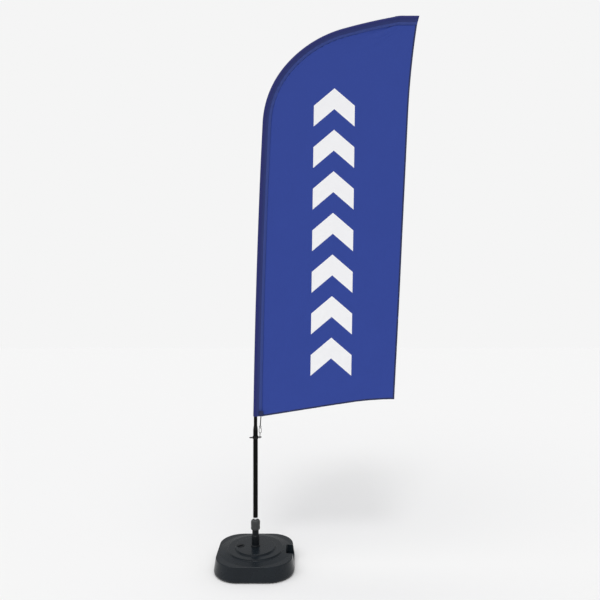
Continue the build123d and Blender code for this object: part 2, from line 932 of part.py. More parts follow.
with BuildPart() as corner_patch:
    with BuildSketch(Plane.XZ.offset(-hook_plane + strap_cloth + touching_gap)):
        with Locations((strap_top[0] - free_gap, flag_bottom + patch_height / 2 + free_gap)):
            RectangleRounded(patch_width, patch_height, 2 * free_gap)
    extrude(amount=patch_cloth)
finish(corner_patch, "corner_patch")

with BuildPart() as link_ring:
    with Locations(Plane(origin=(lug_x, hook_plane, ring_middle), z_dir=(1, 0, 0))):
        Torus(ring_radius, ring_wire_radius)
finish(link_ring, "link_ring")

gate_x = hook_middle - hook_width / 2 + hook_wire / 2
gate_top = hook_top - gate_drop
gate_foot = gate_top - gate_length

with BuildPart() as snap_hook:
    with BuildSketch(Plane.XZ.offset(-hook_plane)):
        with Locations((hook_middle, hook_foot + hook_height / 2)):
            SlotOverall(hook_height, hook_width, rotation=90)
        with Locations((hook_middle, eye_height)):
            Circle(eye_radius)
            Circle(eye_hole_radius, mode=Mode.SUBTRACT)
        with Locations((hook_middle, hook_foot + hook_height / 2)):
            SlotOverall(
                hook_height - 2 * hook_wire,
                hook_width - 2 * hook_wire,
                rotation=90,
                mode=Mode.SUBTRACT,
            )
    extrude(amount=hook_thickness / 2, both=True)
    fillet(snap_hook.faces().sort_by(Axis.Y)[-1].edges(), radius=hook_round)
    fillet(snap_hook.faces().sort_by(Axis.Y)[0].edges(), radius=hook_round)
    # the mouth that the gate closes, and the slot that takes its hinge end
    with Locations((gate_x, hook_plane, gate_foot - running_gap)):
        Box(
            2 * hook_wire,
            2 * hook_thickness,
            gate_length - 2 * hook_wire,
            align=(Align.CENTER, Align.CENTER, Align.MIN),
            mode=Mode.SUBTRACT,
        )
    with Locations((gate_x, hook_plane, gate_foot)):
        Box(
            2 * hook_wire,
            gate_thickness + 2 * slip_gap,
            gate_length + hook_wire,
            align=(Align.CENTER, Align.CENTER, Align.MIN),
            mode=Mode.SUBTRACT,
        )
    with Locations(Plane(origin=(gate_x, hook_plane, gate_top), z_dir=(0, 1, 0))):
        Cylinder(hook_pin_radius, 2 * hook_thickness, mode=Mode.SUBTRACT)
finish(snap_hook, "snap_hook")

with BuildPart() as hook_pin:
    with Locations(Plane(origin=(gate_x, hook_plane, gate_top), z_dir=(0, 1, 0))):
        Cylinder(hook_pin_radius, hook_thickness)
finish(hook_pin, "hook_pin")

with BuildPart() as hook_gate:
    with BuildSketch(Plane.XZ.offset(-hook_plane)):
        with Locations((gate_x, gate_foot)):
            Rectangle(hook_wire, gate_length, align=(Align.CENTER, Align.MIN))
        with Locations((gate_x, gate_top)):
            Circle(hook_wire / 2)
            Circle(hook_pin_radius + touching_gap, mode=Mode.SUBTRACT)
    extrude(amount=gate_thickness / 2, both=True)
finish(hook_gate, "hook_gate")
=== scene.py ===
import math

import bmesh
import bpy
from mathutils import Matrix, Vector, noise


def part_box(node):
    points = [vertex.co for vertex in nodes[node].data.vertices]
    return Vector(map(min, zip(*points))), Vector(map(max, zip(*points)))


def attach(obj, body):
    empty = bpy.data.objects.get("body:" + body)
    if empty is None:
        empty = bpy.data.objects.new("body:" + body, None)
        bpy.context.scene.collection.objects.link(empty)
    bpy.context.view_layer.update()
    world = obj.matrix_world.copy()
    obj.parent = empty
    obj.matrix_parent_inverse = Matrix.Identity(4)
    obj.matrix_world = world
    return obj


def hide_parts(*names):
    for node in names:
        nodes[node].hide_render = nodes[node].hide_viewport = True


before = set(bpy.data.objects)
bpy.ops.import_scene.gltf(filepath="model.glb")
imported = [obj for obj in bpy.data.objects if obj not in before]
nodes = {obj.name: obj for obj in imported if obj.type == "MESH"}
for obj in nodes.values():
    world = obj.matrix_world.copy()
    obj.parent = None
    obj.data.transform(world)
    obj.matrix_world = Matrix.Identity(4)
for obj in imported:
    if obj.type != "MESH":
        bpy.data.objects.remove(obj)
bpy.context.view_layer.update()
scene = bpy.context.scene
print("frame loaded,", len(nodes), "parts")


# small helpers

def cornerOf(node, end):
    return Vector(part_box(node)[end])


def meshPiece(name, points, faces, smooth=True):
    mesh = bpy.data.meshes.new(name)
    mesh.from_pydata([tuple(p) for p in points], [], faces)
    mesh.update()
    for face in mesh.polygons:
        face.use_smooth = smooth
    piece = bpy.data.objects.new(name, mesh)
    scene.collection.objects.link(piece)
    return piece


def paint(piece, material):
    piece.data.materials.clear()
    piece.data.materials.append(material)
    return piece


def gridFaces(rows, columns, closed=False):
    faces = []
    last = columns if closed else columns - 1
    for row in range(rows - 1):
        for column in range(last):
            after = (column + 1) % columns
            faces.append((
                row * columns + column,
                row * columns + after,
                (row + 1) * columns + after,
                (row + 1) * columns + column,
            ))
    return faces


def addModifier(piece, kind, **settings):
    modifier = piece.modifiers.new(kind.title(), kind)
    for key, value in settings.items():
        setattr(modifier, key, value)
    return modifier


def bakeModifiers(piece):
    # the evaluated mesh takes the place of the mesh and its modifiers
    graph = bpy.context.evaluated_depsgraph_get()
    graph.update()
    mesh = bpy.data.meshes.new_from_object(piece.evaluated_get(graph))
    piece.modifiers.clear()
    piece.data = mesh
    return piece


# shader maths

class Wire:
    # a shader socket that can stand in a Python sum
    def __init__(self, shader, socket):
        self.shader = shader
        self.socket = socket

    def maths(self, operation, *values):
        return self.shader.node("ShaderNodeMath", {"operation": operation}, list(values))

    def __add__(self, other):
        return self.maths("ADD", self, other)

    def __radd__(self, other):
        return self.maths("ADD", other, self)

    def __sub__(self, other):
        return self.maths("SUBTRACT", self, other)

    def __rsub__(self, other):
        return self.maths("SUBTRACT", other, self)

    def __mul__(self, other):
        return self.maths("MULTIPLY", self, other)

    def __rmul__(self, other):
        return self.maths("MULTIPLY", other, self)

    def __truediv__(self, other):
        return self.maths("DIVIDE", self, other)

    def __gt__(self, other):
        return self.maths("GREATER_THAN", self, other)

    def __lt__(self, other):
        return self.maths("LESS_THAN", self, other)

    def __abs__(self):
        return self.maths("ABSOLUTE", self)

    def fraction(self):
        return self.maths("FRACT", self)

    def sine(self):
        return self.maths("SINE", self)

    def clamped(self):
        return self.maths("MINIMUM", self.maths("MAXIMUM", self, 0.0), 1.0)


class Shader:
    # a principled material with one method for every other node
    def __init__(self, name, base, rough, metal=0.0, **fixed):
        self.material = bpy.data.materials.new(name)
        self.material.use_nodes = True
        self.tree = self.material.node_tree
        self.surface = self.tree.nodes["Principled BSDF"]
        self.set("Base Color", (*base, 1.0))
        self.set("Roughness", rough)
        self.set("Metallic", metal)
        for key, value in fixed.items():
            self.set(key.replace("_", " "), value)
        self.material.diffuse_color = (*base, 1.0)

    def node(self, kind, settings=None, values=None, out=0):
        node = self.tree.nodes.new(kind)
        for key, value in (settings or {}).items():
            if key == "stops":
                ramp = node.color_ramp
                while len(ramp.elements) < len(value):
                    ramp.elements.new(0.5)
                for element, (place, colour) in zip(ramp.elements, value):
                    element.position = place
                    element.color = (*colour, 1.0)
            else:
                setattr(node, key, value)
        pairs = enumerate(values) if isinstance(values, list) else (values or {}).items()
        for key, value in pairs:
            if isinstance(value, Wire):
                self.tree.links.new(value.socket, node.inputs[key])
            elif value is not None:
                node.inputs[key].default_value = value
        return Wire(self, node.outputs[out])

    def set(self, name, value):
        if isinstance(value, Wire):
            self.tree.links.new(value.socket, self.surface.inputs[name])
        else:
            self.surface.inputs[name].default_value = value

    def objectPlace(self):
        return self.node("ShaderNodeTexCoord", out="Object")

    def uv(self, name):
        return self.node("ShaderNodeUVMap", {"uv_map": name})

    def axes(self, vector):
        split = self.tree.nodes.new("ShaderNodeSeparateXYZ")
        self.tree.links.new(vector.socket, split.inputs[0])
        return [Wire(self, socket) for socket in split.outputs]

    def noise(self, vector, scale, detail=3.0, roughness=0.55):
        return self.node(
            "ShaderNodeTexNoise",
            {"noise_dimensions": "3D"},
            {"Vector": vector, "Scale": scale, "Detail": detail, "Roughness": roughness},
        )

    def stretched(self, vector, scale):
        return self.node("ShaderNodeMapping", {}, {"Vector": vector, "Scale": scale})

    def mix(self, factor, first, second):
        first = (*first, 1.0) if isinstance(first, tuple) else first
        second = (*second, 1.0) if isinstance(second, tuple) else second
        return self.node(
            "ShaderNodeMix", {"data_type": "RGBA"}, {0: factor, 6: first, 7: second}, out=2
        )

    def bump(self, height, distance, strength=1.0, under=None):
        values = {"Strength": strength, "Distance": distance, "Height": height}
        if under is not None:
            values["Normal"] = under
        return self.node("ShaderNodeBump", {}, values)


# camera

cameraPlace = {
    "sideways": 0.2514,
    "height": 1.493,
    "distance": 3.108,
    "lens": 33.0,
}

cameraData = bpy.data.cameras.new("camera")
cameraData.lens = cameraPlace["lens"]
cameraData.sensor_width = 36.0
camera = bpy.data.objects.new("camera", cameraData)
camera.location = (
    cameraPlace["sideways"],
    -cameraPlace["distance"],
    cameraPlace["height"],
)
camera.rotation_euler = (math.pi / 2, 0.0, 0.0)
scene.collection.objects.link(camera)
scene.camera = camera


# the pole's line, as the frame has it

bow = {
    "start": 0.781,
    "bends": [
        (6.0, 0.85), (48.0, 1.94), (0.522, 36.6),
        (0.648, 35.2), (3.45, 5.2), (0.64, 10.2),
    ],
    "flagFoot": 0.836,
    "sleeveEnd": 0.114,
}


def station(distance):
    # point on the pole's line, the way across it towards the flag, and the way along it
    x, z, lean, left = 0.0, bow["start"], 0.0, distance
    for radius, turn in bow["bends"]:
        piece = min(left, radius * math.radians(turn))
        if piece <= 0:
            break
        after = lean + piece / radius
        x += radius * (math.cos(lean) - math.cos(after))
        z += radius * (math.sin(after) - math.sin(lean))
        lean = after
        left -= piece
    z += min(distance, 0.0)
    across = Vector((math.cos(lean), 0, -math.sin(lean)))
    along = Vector((math.sin(lean), 0, math.cos(lean)))
    return Vector((x, 0, z)), across, along


bowLength = sum(radius * math.radians(turn) for radius, turn in bow["bends"])
sleeveStart = bow["flagFoot"] - bow["start"]
sleeveStop = bowLength - bow["sleeveEnd"]


# cloth of the flag

flagCloth = {
    "colour": (0.0370, 0.0690, 0.3350),
    "shade": (0.0330, 0.0620, 0.3050),
    "printWhite": (0.95, 0.95, 0.97),
    "threadsPerMetre": 1900.0,
    "printLow": 1.064,
    "printHigh": 2.708,
    "printLeft": 0.311,
    "printWidth": 0.231,
    "printLean": 0.0126,
    "chevrons": 7,
    "chevronRise": 0.42,
    "chevronBand": 0.50,
}


def weave(shader, along, across, threads):
    # two sets of threads that pass over each other
    warp = (along * (threads * math.pi)).sine()
    weft = (across * (threads * math.pi)).sine()
    return warp * weft * 0.5 + 0.5


def flagMaterial():
    # knitted polyester, dyed through, with a generic white chevron print
    cloth = flagCloth
    shader = Shader("flagKnit", cloth["colour"], 0.7, Specular_IOR_Level=0.12)
    uv = shader.uv("cloth")
    flatX, flatZ = shader.axes(uv)[:2]
    middle = cloth["printLeft"] + cloth["printWidth"] / 2
    tall = cloth["printHigh"] - cloth["printLow"]
    aside = abs(flatX - middle - (flatZ - cloth["printLow"]) * cloth["printLean"])
    across = aside / (cloth["printWidth"] / 2)
    steps = (flatZ - cloth["printLow"]) / tall * cloth["chevrons"]
    band = (steps + (across - 1.0) * cloth["chevronRise"]).fraction()
    inside = (across < 1.0) * (flatZ > cloth["printLow"]) * (flatZ < cloth["printHigh"])
    ink = (band < cloth["chevronBand"]) * inside
    thread = weave(shader, flatX, flatZ, cloth["threadsPerMetre"])
    blotch = shader.noise(uv, 6.0, 4.0)
    dye = shader.mix(blotch * 0.7 + thread * 0.3, cloth["shade"], cloth["colour"])
    shader.set("Base Color", shader.mix(ink, dye, cloth["printWhite"]))
    shader.set("Roughness", 0.66 - ink * 0.1 + blotch * 0.06)
    fine = shader.bump(thread, 0.00015, 0.5)
    shader.set("Normal", shader.bump(shader.noise(uv, 38.0, 2.0), 0.0006, 0.35, fine))
    return shader.material


def plainCloth(name, colour, shade, threads, rough):
    # woven cloth on the piece's own map, in metres
    shader = Shader(name, colour, rough, Specular_IOR_Level=0.2)
    uv = shader.uv("cloth")
    flatX, flatZ = shader.axes(uv)[:2]
    thread = weave(shader, flatX, flatZ, threads)
    worn = shader.noise(uv, 14.0, 4.0)
    shader.set("Base Color", shader.mix(worn * 0.6 + thread * 0.4, shade, colour))
    shader.set("Roughness", rough - 0.05 + worn * 0.1)
    fine = shader.bump(thread, 0.0002, 0.6)
    shader.set("Normal", shader.bump(shader.noise(uv, 60.0, 2.0), 0.0005, 0.3, fine))
    return shader.material


# outer and middle are painted shade on the sleeve's round part, lip is the colour of the painted
# highlights and painted sheen, flat is the colour of the flat band by the seam
sleeveToneAndPaintedLight = {
    "outer": (0.0200, 0.0250, 0.1450),
    "middle": (0.0300, 0.0440, 0.1800),
    "flat": (0.0360, 0.0620, 0.2600),
    "lip": (0.0640, 0.0930, 0.3100),
    "seam": 0.0230,
    "edge": 0.0340,
    "lipWidth": 0.0011,
    "paintedShadeWidth": 0.012,
    "flatFrom": 0.019,
    "flatBlend": 0.003,
    "threadsPerMetre": 1500.0,
}


def sleeveMaterial():
    # stretch cloth with painted shade, darkest over the pole on the outer half of the round part,
    # and a painted highlight along the lip at each seam
    shader = Shader("sleeveCloth", sleeveToneAndPaintedLight["middle"], 0.68, Specular_IOR_Level=0.2)
    uv = shader.uv("cloth")
    across, length = shader.axes(uv)[:2]
    thread = weave(shader, across, length, sleeveToneAndPaintedLight["threadsPerMetre"])
    streak = shader.noise(shader.stretched(uv, (420.0, 9.0, 1.0)), 1.0, 3.0)
    # painted shade fades out from the outer half of the round part towards the flag
    paintedShadeFade = (across / sleeveToneAndPaintedLight["paintedShadeWidth"]).clamped()
    seam = ((across - sleeveToneAndPaintedLight["flatFrom"]) / sleeveToneAndPaintedLight["flatBlend"]).clamped()
    tone = shader.mix(paintedShadeFade, sleeveToneAndPaintedLight["outer"], sleeveToneAndPaintedLight["middle"])
    tone = shader.mix(seam, tone, sleeveToneAndPaintedLight["flat"])
    # lip and edge are lines of painted highlight along the two seams
    lip = (1.0 - abs(across - sleeveToneAndPaintedLight["seam"]) / sleeveToneAndPaintedLight["lipWidth"]).clamped()
    edge = (1.0 - abs(across - sleeveToneAndPaintedLight["edge"]) / sleeveToneAndPaintedLight["lipWidth"]).clamped()
    # painted sheen: pale streaks on the half of the round part towards the flag, added to the
    # painted highlight lines
    stretched = (streak - 0.58).clamped() * 1.6 * paintedShadeFade
    pale = (lip + edge * 0.5 + stretched).clamped()
    tone = shader.mix(pale, tone, sleeveToneAndPaintedLight["lip"])
    shader.set("Base Color", tone)
    shader.set("Roughness", 0.62 + streak * 0.12)
    fine = shader.bump(thread, 0.0002, 0.6)
    shader.set("Normal", shader.bump(streak + lip * 0.5, 0.0007, 0.4, fine))
    return shader.material


def ribbedWebbing():
    # elastic webbing: ribs along it and a herringbone of short threads
    shader = Shader("elasticWebbing", (0.012, 0.012, 0.014), 0.7)
    uv = shader.uv("cloth")
    flatX, flatZ = shader.axes(uv)[:2]
    rib = abs((flatX * 5200.0).sine())
    pick = abs((flatZ * 4200.0 + rib * 2.0).sine())
    shader.set("Base Color", shader.mix(rib * pick, (0.006, 0.006, 0.007), (0.022, 0.022, 0.025)))
    shader.set("Roughness", 0.6 + pick * 0.2)
    shader.set("Normal", shader.bump(rib * 0.6 + pick * 0.4, 0.0003, 0.8))
    return shader.material


def threadMaterial():
    shader = Shader("sewingThread", (0.045, 0.055, 0.150), 0.5)
    twist = shader.noise(shader.objectPlace(), 900.0, 1.0)
    shader.set("Base Color", shader.mix(twist, (0.030, 0.040, 0.115), (0.070, 0.085, 0.200)))
    shader.set("Roughness", 0.42 + twist * 0.2)
    return shader.material


# plastics, metals and rubber

tankFinish = {
    "colour": (0.0060, 0.0085, 0.0115),
    "pale": (0.0105, 0.0150, 0.0200),
    "scuffed": (0.040, 0.043, 0.046),
    "rough": 0.27,
    "scuffHeight": 0.05,
    "partingHeight": 0.0225,
    "partingWidth": 0.0008,
}


def tankPlastic():
    # blow-moulded polyethylene: fine blasted grain, soft ripples, scuffs low down, a parting line
    shader = Shader(
        "tankPolyethylene", tankFinish["colour"], tankFinish["rough"], Specular_IOR_Level=0.22
    )
    place = shader.objectPlace()
    z = shader.axes(place)[2]
    cloud = shader.noise(place, 9.0, 5.0)
    grain = shader.noise(place, 1400.0, 2.0)
    ripple = shader.noise(place, 26.0, 2.0)
    scuff = shader.noise(shader.stretched(place, (40.0, 40.0, 260.0)), 1.6, 6.0, 0.7)
    low = (1.0 - z / tankFinish["scuffHeight"]).clamped()
    worn = ((scuff - 0.58) * 7.0).clamped() * (low * 0.7 + 0.15)
    parting = (1.0 - abs(z - tankFinish["partingHeight"]) / tankFinish["partingWidth"]).clamped()
    base = shader.mix(cloud, tankFinish["colour"], tankFinish["pale"])
    shader.set("Base Color", shader.mix(worn * 0.5, base, tankFinish["scuffed"]))
    shader.set("Roughness", tankFinish["rough"] - 0.05 + cloud * 0.1 + worn * 0.25)
    soft = shader.bump(ripple, 0.0012, 0.25)
    fine = shader.bump(grain, 0.00012, 0.5, soft)
    shader.set("Normal", shader.bump(parting - worn * 0.2, 0.0005, 0.6, fine))
    return shader.material


def mouldedPlastic(name, colour, pale, rough, grainSize=1100.0):
    shader = Shader(name, colour, rough, Specular_IOR_Level=0.2)
    place = shader.objectPlace()
    cloud = shader.noise(place, 30.0, 4.0)
    grain = shader.noise(place, grainSize, 2.0)
    handled = shader.noise(place, 70.0, 5.0, 0.7)
    shader.set("Base Color", shader.mix(cloud, colour, pale))
    shader.set("Roughness", rough - 0.08 + handled * 0.16)
    shader.set("Normal", shader.bump(grain, 0.00010, 0.5))
    return shader.material


def tubeFinish(name, colour, rough, metal, gloss):
    # fine lines round the tube, with handling marks that dull its gloss
    shader = Shader(name, colour, rough, metal, Specular_IOR_Level=gloss)
    place = shader.objectPlace()
    lines = shader.noise(shader.stretched(place, (1.0, 1.0, 24.0)), 60.0, 3.0)
    marks = shader.noise(shader.stretched(place, (12.0, 12.0, 2.0)), 12.0, 6.0, 0.7)
    rubbed = ((marks - 0.55) * 5.0).clamped()
    pale = tuple(min(1.0, channel * 1.6 + 0.001) for channel in colour)
    shader.set("Base Color", shader.mix(lines * 0.5 + rubbed * 0.3, colour, pale))
    shader.set("Roughness", rough - 0.06 + lines * 0.08 + rubbed * 0.12)
    shader.set("Normal", shader.bump(lines, 0.00008, 0.35))
    return shader.material


def turnedMetal(name, colour, pale, rough, ringSize=900.0):
    # lathe marks round the spin axis and a thin haze
    shader = Shader(name, colour, rough, 1.0)
    place = shader.objectPlace()
    rings = shader.noise(shader.stretched(place, (2.0, 2.0, ringSize)), 1.0, 3.0)
    haze = shader.noise(place, 45.0, 5.0, 0.65)
    shader.set("Base Color", shader.mix(haze, colour, pale))
    shader.set("Roughness", rough - 0.04 + rings * 0.07 + haze * 0.06)
    shader.set("Normal", shader.bump(rings, 0.00006, 0.4))
    return shader.material


def rubber():
    shader = Shader("blackRubber", (0.016, 0.016, 0.017), 0.78)
    place = shader.objectPlace()
    dust = shader.noise(place, 90.0, 5.0, 0.7)
    shader.set("Base Color", shader.mix(dust, (0.012, 0.012, 0.013), (0.034, 0.034, 0.036)))
    shader.set("Roughness", 0.68 + dust * 0.18)
    shader.set("Normal", shader.bump(shader.noise(place, 800.0, 2.0), 0.0001, 0.5))
    return shader.material


finishes = {
    "tank": tankPlastic(),
    "post": mouldedPlastic(
        "postPolypropylene", (0.0040, 0.0055, 0.0075), (0.0070, 0.0090, 0.0110), 0.32
    ),
    "nut": mouldedPlastic("nutPlastic", (0.042, 0.044, 0.046), (0.065, 0.067, 0.070), 0.32),
    "fitting": mouldedPlastic(
        "fittingNylon", (0.0025, 0.0025, 0.0028), (0.0050, 0.0050, 0.0055), 0.38
    ),
    "nylon": mouldedPlastic("naturalNylon", (0.62, 0.60, 0.53), (0.72, 0.70, 0.63), 0.40),
    "tube": tubeFinish("blackAnodised", (0.0012, 0.0012, 0.0013), 0.34, 0.0, 0.07),
    "fibre": tubeFinish("blackFibreglass", (0.0012, 0.0012, 0.0014), 0.30, 0.0, 0.08),
    "chrome": turnedMetal("chromePlate", (0.80, 0.81, 0.83), (0.88, 0.88, 0.89), 0.10),
    "steel": turnedMetal("bearingSteel", (0.55, 0.55, 0.56), (0.66, 0.66, 0.67), 0.24),
    "aluminium": turnedMetal("turnedAluminium", (0.66, 0.67, 0.69), (0.76, 0.77, 0.78), 0.32),
    "hook": tubeFinish("blackPlatedZinc", (0.0030, 0.0030, 0.0033), 0.34, 0.0, 0.15),
    "rubber": rubber(),
    "flag": flagMaterial(),
    "sleeve": sleeveMaterial(),
    "binding": plainCloth(
        "bindingTape", (0.0270, 0.0360, 0.1150), (0.0190, 0.0260, 0.0880), 1300.0, 0.7
    ),
    "webbing": ribbedWebbing(),
    "thread": threadMaterial(),
}

partFinish = {
    "tank": ["base_tank"],
    "post": ["post", "filler_cap"],
    "nut": ["clamp_nut"],
    "fitting": ["lug_collar", "reducer", "rotor_cap"],
    "nylon": ["collet", "guide_bush", "tube_guide", "lower_ball_cage", "upper_ball_cage"],
    "tube": ["bottom_tube", "mid_ferrule", "upper_ferrule", "bend_ferrule"],
    "fibre": ["mid_pole", "upper_pole", "bend_pole", "tip_rod"],
    "chrome": ["spindle_pin"],
    "steel": [
        "race_spacer", "circlip", "lower_inner_race", "upper_inner_race", "lower_outer_race",
        "upper_outer_race", "lower_balls", "upper_balls", "hook_pin",
    ],
    "aluminium": ["rotor_sleeve"],
    "hook": ["snap_hook", "hook_gate", "link_ring"],
    "rubber": ["post_seal", "filler_gasket", "dust_seal", "tip_cap"],
}

for finish, parts in partFinish.items():
    for part in parts:
        for slot in nodes[part].material_slots:
            slot.material = finishes[finish]
print("finishes made:", len(finishes))


# flag panel

panelShape = {
    "seamInset": 0.0332,
    "pocketInset": 0.0262,
    "corner": (0.786, 0.932),
    "bottomFoot": (0.035, 0.836),
    "bottomJoint": (0.534, 0.912),
    "trailingJoint": (0.861, 2.530),
    "tip": (0.914, 3.057),
    "columns": 64,
    "rows": 150,
    "hemWidth": 0.009,
    "clothThickness": 0.00035,
    "seamHeight": 2.13,
    "pocketFrom": 0.95,
    "curvedShare": 0.2,
    "frames": 22,
    "gravity": 0.35,
    "farthestOut": 0.022,
    "farthestAlong": 0.004,
}


def lineThenArc(foot, joint, end, share):
    # a straight run, then one round stretch that leaves it smoothly
    foot, joint, end = Vector(foot), Vector(joint), Vector(end)
    along = (joint - foot).normalized()
    side = Vector((-along.y, along.x))
    reach = end - joint
    if reach.dot(side) < 0:
        side = -side
    straight = (joint - foot).length
    turn = 2 * math.atan2(reach.dot(side), reach.dot(along))
    radius = reach.length_squared / (2 * reach.dot(side))
    place = share * (straight + radius * turn)
    if place < straight:
        return foot + along * place
    swung = (place - straight) / radius
    return joint + radius * (along * math.sin(swung) + side * (1 - math.cos(swung)))


def bottomEdge(share):
    return lineThenArc(
        panelShape["bottomFoot"], panelShape["bottomJoint"], panelShape["corner"], share
    )


def trailingEdge(share):
    return lineThenArc(
        panelShape["corner"], panelShape["trailingJoint"], panelShape["tip"], share
    )


def smoothStep(value):
    value = max(0.0, min(1.0, value))
    return value * value * (3 - 2 * value)


def seamPoint(share):
    begin = panelShape["pocketFrom"]
    near = smoothStep((share - begin) / (1 - begin))
    seam, pocket = panelShape["seamInset"], panelShape["pocketInset"]
    inset = seam + (pocket - seam) * near
    point, across, along = station(sleeveStart + share * (sleeveStop - sleeveStart))
    place = point + across * inset
    return Vector((place.x, place.z))


def panelPlaces():
    # the flat cut of the panel as a grid, with two narrow rows and columns for the hems
    columns, rows, hem = panelShape["columns"], panelShape["rows"], panelShape["hemWidth"]
    tall = panelShape["seamHeight"]
    levels = [0.0, hem / 2 / tall]
    levels += [
        hem / tall + (1 - hem / tall) * row / (rows - 3) for row in range(rows - 2)
    ]
    grid = []
    for level in levels:
        left, right = seamPoint(level), trailingEdge(level)
        wide = (right - left).length
        shares = [(1 - hem / wide) * column / (columns - 3) for column in range(columns - 2)]
        shares += [1 - hem / 2 / wide, 1.0]
        low = max(0.0, 1 - level / panelShape["curvedShare"]) ** 2
        line = []
        for share in shares:
            place = left.lerp(right, share)
            place += low * (bottomEdge(share) - seamPoint(0).lerp(trailingEdge(0), share))
            line.append(place)
        grid.append(line)
    return grid


stillAir = {
    "belly": 0.007,
    "pull": 0.0022,
    "ripple": 0.0035,
    "edge": 0.004,
}


def stillAirShape(x, z):
    # the shallow belly and the pull lines that still air and the strap leave in the cloth
    belly = math.sin(2.1 * z + 0.6) * smoothStep(x / 0.5)
    pull = math.sin(26 * (z - 0.12 * x) + 1.2) * math.exp(-max(0.0, x - 0.05) * 7)
    ripple = noise.noise(Vector((x * 2.3, 0.3, z * 1.4))) * smoothStep(x / 0.3)
    edge = math.sin(7.0 * z) * smoothStep((x - 0.55) / 0.3)
    return (
        stillAir["belly"] * belly
        + stillAir["pull"] * pull
        + stillAir["ripple"] * ripple
        + stillAir["edge"] * edge
    )


def makePanel():
    flat = panelPlaces()
    rows, columns = len(flat), len(flat[0])
    points = [
        Vector((place.x, stillAirShape(place.x, place.y), place.y))
        for line in flat
        for place in line
    ]
    for row in range(rows):
        for column in range(columns):
            held = smoothStep(column / 5) * smoothStep((rows - 1 - row) / 5)
            points[row * columns + column].y *= held
    panel = meshPiece("flagPanelCloth", points, gridFaces(rows, columns))
    uvMap = panel.data.uv_layers.new(name="cloth")
    for loop in panel.data.loops:
        place = flat[loop.vertex_index // columns][loop.vertex_index % columns]
        uvMap.data[loop.index].uv = (place.x, place.y)
    settleCloth(panel, rows, columns)
    return panel, rows, columns


clothSettings = {
    "quality": 7,
    "mass": 0.02,
    "tension_stiffness": 60,
    "compression_stiffness": 30,
    "shear_stiffness": 12,
    "bending_stiffness": 0.08,
    "air_damping": 4.0,
}


def settleCloth(panel, rows, columns):
    # gravity settles the cloth, held along the sleeve seam and the tip pocket
    rest = [point.co.copy() for point in panel.data.vertices]
    held = panel.vertex_groups.new(name="held")
    pinned = [row * columns + column for row in range(rows) for column in (0, 1)]
    pinned += [(rows - row) * columns + column for row in (1, 2) for column in range(columns)]
    held.add(pinned, 1.0, "REPLACE")
    corner = [row * columns + column for row in (0, 1) for column in range(4)]
    held.add(corner, 1.0, "REPLACE")
    cloth = panel.modifiers.new("Cloth", "CLOTH")
    settings = cloth.settings
    for key, value in clothSettings.items():
        setattr(settings, key, value)
    settings.vertex_group_mass = "held"
    settings.effector_weights.gravity = panelShape["gravity"]
    cloth.point_cache.frame_start = 1
    cloth.point_cache.frame_end = panelShape["frames"]
    for moment in range(1, panelShape["frames"] + 1):
        scene.frame_set(moment)
    graph = bpy.context.evaluated_depsgraph_get()
    settled = panel.evaluated_get(graph).to_mesh()
    moved = [point.co.copy() for point in settled.vertices]
    panel.evaluated_get(graph).to_mesh_clear()
    panel.modifiers.clear()
    scene.frame_set(1)
    out, along = panelShape["farthestOut"], panelShape["farthestAlong"]
    for point, start, end in zip(panel.data.vertices, rest, moved):
        step = end - start
        flatStep = Vector((step.x, 0, step.z))
        if flatStep.length > along:
            flatStep *= along / flatStep.length
        y = max(-out, min(out, end.y))
        point.co = (start.x + flatStep.x, y, start.z + flatStep.z)
    panel.data.update()


panel, panelRows, panelColumns = makePanel()
panelGrid = [
    [panel.data.vertices[row * panelColumns + column].co.copy() for column in range(panelColumns)]
    for row in range(panelRows)
]
paint(panel, finishes["flag"])
print("panel settled:", panelRows, "by", panelColumns)


# hems

hemShape = {
    "section": [
        (0.0090, 0.00020), (0.0087, 0.00062), (0.0070, 0.00075), (0.0040, 0.00078),
        (0.0008, 0.00085), (-0.0004, 0.00060), (-0.0007, 0.0),
        (-0.0004, -0.00060), (0.0008, -0.00085), (0.0040, -0.00078), (0.0070, -0.00075),
        (0.0087, -0.00062), (0.0090, -0.00020),
    ],
    "pucker": 0.22,
    "puckerTurn": 2.399,
    "puckerDrift": 0.37,
    "drawnWidth": 0.009,
    "trailingWidth": 0.009,
    "bottomWidth": 0.0086,
    "mapStep": 0.0016,
}


def makeHem(name, edge, inner, width):
    # a folded tape that takes the cloth's edge, puckered a little by its stitches
    section = hemShape["section"]
    points = []
    for index, (outside, inside) in enumerate(zip(edge, inner)):
        inward = (inside - outside).normalized()
        after = edge[min(index + 1, len(edge) - 1)]
        before = edge[max(index - 1, 0)]
        along = (after - before).normalized()
        normal = along.cross(inward).normalized()
        wave = math.sin(index * hemShape["puckerTurn"]) * math.sin(index * hemShape["puckerDrift"])
        pucker = 1 + hemShape["pucker"] * wave
        for depth, height in section:
            points.append(
                outside
                + inward * depth * width / hemShape["drawnWidth"]
                + normal * height * pucker
            )
    hem = meshPiece(name, points, gridFaces(len(edge), len(section), closed=True))
    uvMap = hem.data.uv_layers.new(name="cloth")
    for loop in hem.data.loops:
        row, column = divmod(loop.vertex_index, len(section))
        uvMap.data[loop.index].uv = (column * hemShape["mapStep"], edge[row].z + edge[row].x)
    capEnds(hem, len(section))
    paint(hem, finishes["binding"])
    return hem


def capEnds(piece, count):
    # closes both ends of a swept section
    work = bmesh.new()
    work.from_mesh(piece.data)
    work.verts.ensure_lookup_table()
    last = len(work.verts)
    work.faces.new([work.verts[index] for index in range(count)][::-1])
    work.faces.new([work.verts[index] for index in range(last - count, last)])
    bmesh.ops.recalc_face_normals(work, faces=work.faces)
    work.to_mesh(piece.data)
    work.free()


